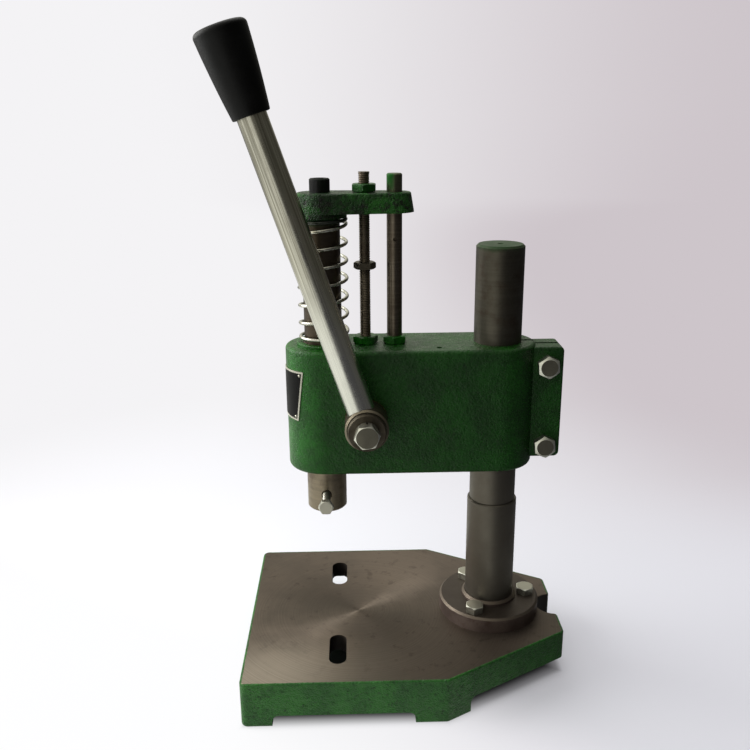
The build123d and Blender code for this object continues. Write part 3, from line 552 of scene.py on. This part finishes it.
# Lever rod
# Bright drawn bar screwed into the hub, with marks along its length.
lean = math.radians(18.53)
bright, tree, shader, place = steel("bright_steel", colour(218, 215, 200), colour(150, 146, 130),
                                    (0.0011, 0.0011, 0.12), (0.0, -lean, 0.0), roughness=0.20, metallic=1.0,
                                    stain=0.16, stain_colour=(112, 102, 86))
base = shader.inputs["Base Color"].links[0].from_socket
# The bar is painted lighter towards its lower end, near the hub: a painted reflection.
painted_rod_sheen = step(tree, axes_of(tree, place)[2], 0.25, 0.34, 0.6, 0.0)
plug(tree, mixed(tree, painted_rod_sheen, base, colour(240, 241, 234)), shader.inputs["Base Color"])
plug(tree, vector(tree, math.sin(lean), 0.0, math.cos(lean)), shader.inputs["Tangent"])
shader.inputs["Anisotropic"].default_value = 0.15
shader.inputs["Anisotropic Rotation"].default_value = 0.25
paint("lever_rod", material=bright)

# Grip
# Moulded black thermoset, satin, with the faint grain of its mould.
grip, tree, shader, place = surface("grip_black")
grain = noise(tree, place, 700.0, 3.0)
wear = noise(tree, place, 60.0, 4.0)
black = mixed(tree, step(tree, wear, 0.4, 0.7), colour(6, 6, 6), colour(12, 12, 12))
plug(tree, black, shader.inputs["Base Color"])
plug(tree, step(tree, wear, 0.3, 0.7, 0.42, 0.55), shader.inputs["Roughness"])
shader.inputs["Specular IOR Level"].default_value = 0.18
bumped(tree, shader, grain, 0.0002, 0.25)
paint("lever_grip", material=grip)

# Bushes and cover screws
# Bearing bronze on both journals, and black socket screws that hold the cover.
bronze = steel("bearing_bronze", colour(176, 132, 72), colour(140, 98, 50), (0.02, 0.0006, 0.02))[0]
paint("near_bush", "far_bush", material=bronze)
paint("cover_screws", material=steel("cover_black", **oxide_look)[0])

# Depth stop stud
# M8 stud, threaded over its whole length, locked in the head. The thread is one surface: a
# grid rolled up, with its radius following a helix.
low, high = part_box("depth_stop_stud")
stud_steel = steel("stud_steel", **{**rod_look, "marks": (0.01, 0.01, 0.01)})[0]
stud_pitch = 0.00125
stud_length = high.z - low.z
rings_per_turn = 8
tree, given = group("thread", Radius=(high.x - low.x) / 2, Pitch=stud_pitch, Depth=0.00055,
                    Length=stud_length, Rings=int(stud_length / stud_pitch * rings_per_turn) + 1,
                    Sides=40)
grid, share, round_ = grid_of(tree, given["Rings"], given["Sides"])
height = field(tree, "MULTIPLY", share, given["Length"])
angle = field(tree, "MULTIPLY", round_, math.tau)
turns = field(tree, "SUBTRACT", field(tree, "DIVIDE", height, given["Pitch"]), round_)
flank = field(tree, "MULTIPLY", field(tree, "PINGPONG", turns, 0.5), 2.0)
fade = field(tree, "MINIMUM", field(tree, "MULTIPLY", field(tree, "SUBTRACT", 1.0, share), 60.0), 1.0)
groove = field(tree, "MULTIPLY", field(tree, "MULTIPLY", flank, given["Depth"]), fade)
reach = field(tree, "SUBTRACT", given["Radius"], groove)
rolled = put(tree, grid, vector(tree, field(tree, "MULTIPLY", reach, field(tree, "COSINE", angle)),
                                field(tree, "MULTIPLY", reach, field(tree, "SINE", angle)), height))
weld = tree.nodes.new("GeometryNodeMergeByDistance")
weld.inputs["Distance"].default_value = 1e-5
plug(tree, rolled, weld.inputs[0])
cap = tree.nodes.new("GeometryNodeMeshCircle")
cap.fill_type = "TRIANGLE_FAN"
plug(tree, given["Sides"], cap.inputs["Vertices"])
plug(tree, given["Radius"], cap.inputs["Radius"])
lift = tree.nodes.new("GeometryNodeTransform")
plug(tree, cap.outputs[0], lift.inputs[0])
plug(tree, vector(tree, 0.0, 0.0, given["Length"]), lift.inputs["Translation"])
stud = place_mesh(made(tree, joined(tree, weld.outputs[0], lift.outputs[0]), stud_steel, "stud_thread"),
                  Matrix.Translation((middle("depth_stop_stud").x, 0.0, low.z)))
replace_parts(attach(stud, "head"), "depth_stop_stud")

# Return spring
# One wire of bright spring steel, closed at both ends, wound round the ram's neck. It stands
# on the head's seat and bears on the yoke, so the real spring shortens as the ram goes down; here it is
# made at one length and moves with the head.
low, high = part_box("return_spring")
wire = 0.0025
spring_parts = steel("spring_steel", colour(214, 213, 204), colour(176, 173, 162), (0.003, 0.003, 0.003),
                     roughness=0.14, metallic=1.0, stain=0.2)
along = add(spring_parts[1], "ShaderNodeAttribute", attribute_name="coil_place").outputs["Fac"]
painted_coil = step(spring_parts[1], along, 0.872, 0.886, 0.0, 0.97)
spring_steel = oversprayed(spring_parts, painted_coil, colour(13, 26, 11))
tree, given = group("spring", Radius=(high.y - low.y - wire) / 2, Wire=wire, Turns=8.25,
                    Closed_pitch=0.0031, Rise=high.z - low.z - wire, Start=math.radians(-84.0),
                    Points=595, Sides=14)
line = tree.nodes.new("GeometryNodeMeshLine")
plug(tree, given["Points"], line.inputs["Count"])
index = tree.nodes.new("GeometryNodeInputIndex").outputs[0]
share = field(tree, "DIVIDE", index, field(tree, "SUBTRACT", given["Points"], 1.0))
turn = field(tree, "MULTIPLY", share, given["Turns"])
first = field(tree, "MINIMUM", turn, 1.0)
last_from = field(tree, "SUBTRACT", given["Turns"], 1.0)
last = field(tree, "MAXIMUM", field(tree, "SUBTRACT", turn, last_from), 0.0)
between = field(tree, "SUBTRACT", field(tree, "SUBTRACT", turn, first), last)
open_rise = field(tree, "SUBTRACT", given["Rise"], field(tree, "MULTIPLY", given["Closed pitch"], 2.0))
pitch = field(tree, "DIVIDE", open_rise, field(tree, "SUBTRACT", given["Turns"], 2.0))
height = field(tree, "ADD", field(tree, "MULTIPLY", field(tree, "ADD", first, last), given["Closed pitch"]),
               field(tree, "MULTIPLY", between, pitch))
angle = field(tree, "ADD", field(tree, "MULTIPLY", turn, math.tau), given["Start"])
ways = [field(tree, wave, angle) for wave in ("COSINE", "SINE")]
sideways = [field(tree, "MULTIPLY", way, given["Radius"]) for way in ways]
coil = put(tree, line.outputs[0], vector(tree, *sideways, height))
kept = tree.nodes.new("GeometryNodeStoreNamedAttribute")
kept.inputs["Name"].default_value = "coil_place"
plug(tree, coil, kept.inputs[0])
plug(tree, share, kept.inputs["Value"])
path = tree.nodes.new("GeometryNodeMeshToCurve")
plug(tree, kept.outputs[0], path.inputs[0])
section = tree.nodes.new("GeometryNodeCurvePrimitiveCircle")
plug(tree, field(tree, "MULTIPLY", given["Wire"], 0.5), section.inputs["Radius"])
plug(tree, given["Sides"], section.inputs["Resolution"])
tube = tree.nodes.new("GeometryNodeCurveToMesh")
tube.inputs["Fill Caps"].default_value = True
plug(tree, path.outputs[0], tube.inputs["Curve"])
plug(tree, section.outputs[0], tube.inputs["Profile Curve"])
seat = (ram_x + 0.0008, 0.0, low.z)
spring = place_mesh(made(tree, tube.outputs[0], spring_steel, "coil_spring"),
                    Matrix.Translation(seat) @ Matrix.Translation((0.0, 0.0, wire / 2)))
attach(spring, "head")
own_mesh(spring)
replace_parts(spring, "return_spring")

# Data plate and its pins
# Thin plate bent round the head's front and held by four drive pins, with a black field and a
# pale border, left without any words.
plate_parts = steel("plate_metal", colour(196, 194, 178), colour(176, 174, 158), (0.01, 0.01, 0.01),
                    roughness=0.40, metallic=0.4, stain=0.2)
plate_metal, tree, shader, place = plate_parts
spot = axes_of(tree, add(tree, "ShaderNodeAttribute", attribute_name="plate_place").outputs["Vector"])
black_field = step(tree, sums(tree, "MINIMUM", spot[0], spot[1]), 0.0012, 0.0014)
plug(tree, mixed(tree, black_field, shader.inputs["Base Color"].links[0].from_socket, colour(14, 14, 13)),
     shader.inputs["Base Color"])
plug(tree, sums(tree, "MULTIPLY", sums(tree, "SUBTRACT", 1.0, black_field), 0.4), shader.inputs["Metallic"])
shader.inputs["Specular IOR Level"].default_value = 0.08
plate_angles = ((math.radians(41.8), math.radians(156.5)), (math.radians(30.3), math.radians(145.0)))
plate_levels = ((0.2068, 0.2447), (0.2090, 0.2433))
plate_height = 0.0375
plate_run = 0.0566


def on_head(tree, share, rise, reach):
    """The place on the head's round front at a share of the plate's run and rise."""
    ends = [field(tree, "MULTIPLY_ADD", share, far - near, near) for near, far in plate_angles]
    angle = field(tree, "MULTIPLY_ADD", rise, field(tree, "SUBTRACT", ends[1], ends[0]), ends[0])
    edges = [field(tree, "MULTIPLY_ADD", share, far - near, near) for near, far in zip(*plate_levels)]
    level = field(tree, "MULTIPLY_ADD", rise, field(tree, "SUBTRACT", edges[1], edges[0]), edges[0])
    return vector(tree, field(tree, "MULTIPLY_ADD", field(tree, "SINE", angle), -reach, ram_x),
                  field(tree, "MULTIPLY", field(tree, "COSINE", angle), -reach), level)


def to_nearer_end(tree, share, size):
    """How far a share of a length lies from the nearer of its ends."""
    other = field(tree, "SUBTRACT", 1.0, share)
    return field(tree, "MULTIPLY", field(tree, "MINIMUM", share, other), size)


head_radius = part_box("head_casting")[1].y
tree, given = group("plate", Thickness=0.0005, Across=49, Up=13)
grid, share, rise = grid_of(tree, given["Across"], given["Up"])
from_side = to_nearer_end(tree, share, plate_run)
from_end = to_nearer_end(tree, rise, plate_height)
store = tree.nodes.new("GeometryNodeStoreNamedAttribute")
store.data_type = "FLOAT_VECTOR"
store.inputs["Name"].default_value = "plate_place"
plug(tree, grid, store.inputs[0])
plug(tree, vector(tree, from_side, from_end, 0.0), store.inputs["Value"])
bent = put(tree, store.outputs[0], on_head(tree, share, rise, head_radius + 0.0001))
outward = tree.nodes.new("GeometryNodeFlipFaces")
plug(tree, bent, outward.inputs[0])
thick = tree.nodes.new("GeometryNodeExtrudeMesh")
thick.inputs["Individual"].default_value = False
plug(tree, outward.outputs[0], thick.inputs[0])
plug(tree, given["Thickness"], thick.inputs["Offset Scale"])
plate = made(tree, thick.outputs[0], plate_metal, "data_plate", smooth=False)
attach(plate, "head")

tree, given = group("pins", Radius=0.0013, Inset=0.0030)
grid, share, rise = grid_of(tree, 2, 2)
margins = [field(tree, "DIVIDE", given["Inset"], size) for size in (plate_run, plate_height)]
inset = []
for margin, way in zip(margins, (share, rise)):
    span = field(tree, "MULTIPLY_ADD", margin, -2.0, 1.0)
    inset.append(field(tree, "ADD", margin, field(tree, "MULTIPLY", way, span)))
corners = put(tree, grid, on_head(tree, *inset, head_radius - 0.0001))
ball = tree.nodes.new("GeometryNodeMeshUVSphere")
ball.inputs["Segments"].default_value = 16
ball.inputs["Rings"].default_value = 10
plug(tree, given["Radius"], ball.inputs["Radius"])
scatter = tree.nodes.new("GeometryNodeInstanceOnPoints")
plug(tree, corners, scatter.inputs["Points"])
plug(tree, ball.outputs[0], scatter.inputs["Instance"])
pin_steel = steel("pin_steel", **{**zinc_look, "roughness": 0.35})[0]
pins = made(tree, scatter.outputs[0], pin_steel, "plate_pins")
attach(pins, "head")


# Floor and room
# A pale bench in a room with one big window on the left and behind, and a dim room on the
# camera's side. What the camera sees of bench and room is nearly white, greyer to the right.
def direct_sight(tree):
    """1 where the camera looks, and 1 where a reflection looks; 0 where light is gathered."""
    sight = add(tree, "ShaderNodeLightPath").outputs
    mirrored = sums(tree, "MAXIMUM", sight["Is Glossy Ray"], sight["Is Transmission Ray"])
    return sight["Is Camera Ray"], mirrored


def backdrop(tree, east):
    """The pale tone that the camera sees towards an east from -1 to 1."""
    return mixed(tree, step(tree, east, -0.25, 0.45), colour(244, 243, 245), colour(205, 197, 202))


floor_material, tree, shader, place = surface("floor_paint")
x, y, z = axes_of(tree, place)
away = add(tree, "ShaderNodeVectorMath", operation="LENGTH")
plug(tree, place, away.inputs[0])
away = away.outputs["Value"]
heading = add(tree, "ShaderNodeVectorMath", operation="NORMALIZE")
plug(tree, place, heading.inputs[0])
east = chosen(tree, step(tree, away, 0.6, 4.0), x, axes_of(tree, heading.outputs[0])[0])
# For light that it throws back, the bench's colour is painted pale near the base and on the left and dark
# elsewhere: painted light and painted shade.
near = sums(tree, "MULTIPLY", step(tree, away, 0.16, 0.50, 1.0, 0.0), step(tree, x, 0.0, 0.14, 1.0, 0.15))
leftward = sums(tree, "SUBTRACT", y, sums(tree, "MULTIPLY", x, 0.9))
left = sums(tree, "MULTIPLY", step(tree, x, -0.30, -0.10, 1.0, 0.0), step(tree, leftward, -0.35, -0.05),
            step(tree, y, 0.4, 1.2, 1.0, 0.35))
lit = sums(tree, "MAXIMUM", near, left)
bounce = mixed(tree, lit, colour(52, 53, 55), colour(238, 239, 243))
seen, mirrored = direct_sight(tree)
# Under the base the bench's colour is painted dark grey: painted shade.
uncovered = step(tree, plan_depth(tree, x, y), -0.002, 0.004, 1.0, 0.0)
pale = mixed(tree, seen, bounce, colour(238, 239, 243))
plug(tree, mixed(tree, uncovered, colour(96, 96, 98), pale), shader.inputs["Base Color"])
shader.inputs["Roughness"].default_value = 0.8
glow = add(tree, "ShaderNodeEmission", Strength=1.0)
# What reflections see of the bench is a glow, pale on the left and near the base and dim elsewhere: a
# painted reflection.
shining = sums(tree, "MULTIPLY", step(tree, x, -0.22, -0.06, 1.0, 0.0), step(tree, y, 0.4, 1.2, 1.0, 0.35),
               step(tree, away, 0.6, 1.5, 1.0, 0.6))
glint = mixed(tree, sums(tree, "MAXIMUM", shining, near), colour(74, 74, 77), colour(250, 251, 244))
# What the camera sees of the bench glows white on the left and greyer to the right: painted shade.
bench_tone = mixed(tree, step(tree, x, -0.15, 0.25), colour(254, 254, 255), colour(219, 216, 223))
beyond = sums(tree, "MAXIMUM", step(tree, y, 0.08, 0.35), step(tree, away, 0.5, 1.5))
tone = mixed(tree, beyond, bench_tone, backdrop(tree, east))
plug(tree, mixed(tree, seen, glint, tone), glow.inputs["Color"])

# The camera sees little of the bench's shadow in front and on the left and more on the right,
# and the bench's glow fades out towards the middle of the base's underside: a painted shade there, on top
# of the traced one.
shadow_side = sums(tree, "ADD", y, sums(tree, "MULTIPLY", x, 0.6))
beside = chosen(tree, step(tree, shadow_side, -0.10, 0.0), 0.95, 0.35)
open_floor = chosen(tree, step(tree, away, 0.15, 0.75), beside, 1.0)
rim = step(tree, plan_depth(tree, x, y), -0.006, 0.0145, 1.0, 0.0)
share = sums(tree, "MAXIMUM", sums(tree, "MULTIPLY", uncovered, mirrored),
             sums(tree, "MULTIPLY", seen, open_floor, rim))
blend = tree.nodes.new("ShaderNodeMixShader")
plug(tree, share, blend.inputs[0])
tree.links.new(shader.outputs[0], blend.inputs[1])
tree.links.new(glow.outputs[0], blend.inputs[2])
tree.links.new(blend.outputs[0], tree.nodes["Material Output"].inputs["Surface"])
floor_reach = 60
floor_mesh = bpy.data.meshes.new("floor")
floor_mesh.from_pydata([(-floor_reach, -floor_reach, 0), (floor_reach, -floor_reach, 0),
                        (floor_reach, floor_reach, 0), (-floor_reach, floor_reach, 0)], [], [(0, 1, 2, 3)])
floor_mesh.materials.append(floor_material)
floor = bpy.data.objects.new("floor", floor_mesh)
bpy.context.scene.collection.objects.link(floor)

world = bpy.data.worlds.new("studio")
bpy.context.scene.world = world
world.use_nodes = True
tree = world.node_tree
seen, mirrored = direct_sight(tree)
heading = add(tree, "ShaderNodeTexCoord").outputs["Generated"]
toward = add(tree, "ShaderNodeVectorMath", operation="DOT_PRODUCT")
plug(tree, heading, toward.inputs[0])
toward.inputs[1].default_value = Vector((-0.90, 0.22, 0.30)).normalized()
toward = toward.outputs["Value"]
gathered = step(tree, toward, -0.6, 1.0, 0.03, 1.0)
reflected = step(tree, toward, -0.55, 0.8, 0.07, 0.95)
level = chosen(tree, seen, chosen(tree, mirrored, gathered, reflected), 1.0)
background = tree.nodes["Background"]
plug(tree, level, background.inputs["Strength"])
lit_tone = mixed(tree, mirrored, colour(252, 252, 255), colour(255, 253, 238))
room_tone = backdrop(tree, axes_of(tree, heading)[0])
plug(tree, mixed(tree, seen, lit_tone, room_tone), background.inputs["Color"])


def panel(name, spot, aim, width, height, power):
    """A soft rectangular lamp that looks at a point."""
    lamp = bpy.data.lights.new(name, "AREA")
    lamp.shape = "RECTANGLE"
    lamp.size = width
    lamp.size_y = height
    lamp.energy = power
    obj = bpy.data.objects.new(name, lamp)
    obj.location = spot
    obj.rotation_euler = (Vector(aim) - Vector(spot)).to_track_quat("-Z", "Y").to_euler()
    bpy.context.scene.collection.objects.link(obj)


aim = (0.0, 0.0, 0.2)
panel("window", (-1.3, 0.28, 0.75), aim, 1.0, 1.0, 20.0)
panel("overhead", (-0.2, 0.5, 1.5), aim, 1.2, 1.2, 7.0)
panel("doorway", (-0.75, -1.4, 0.30), aim, 0.5, 0.9, 0.6)

# The camera stands a little left of the column, above the head's height, and looks down.
yaw = math.radians(1.436)
pitch = math.radians(17.272)
roll = math.radians(-0.458)
ahead = Vector((math.sin(yaw) * math.cos(pitch), math.cos(yaw) * math.cos(pitch), -math.sin(pitch)))
side = Vector((math.cos(yaw), -math.sin(yaw), 0.0))
above = side.cross(ahead)
right = math.cos(roll) * side + math.sin(roll) * above
up = math.cos(roll) * above - math.sin(roll) * side
lens = bpy.data.cameras.new("camera")
lens.sensor_width = 36.0
lens.lens = 40.62
camera = bpy.data.objects.new("camera", lens)
turned_axes = Matrix((right, up, -ahead)).transposed().to_4x4()
camera.matrix_world = Matrix.Translation((column_x - 0.105892, -0.602976, 0.422057)) @ turned_axes
bpy.context.scene.collection.objects.link(camera)
bpy.context.scene.camera = camera
bpy.context.scene.view_settings.view_transform = "Standard"
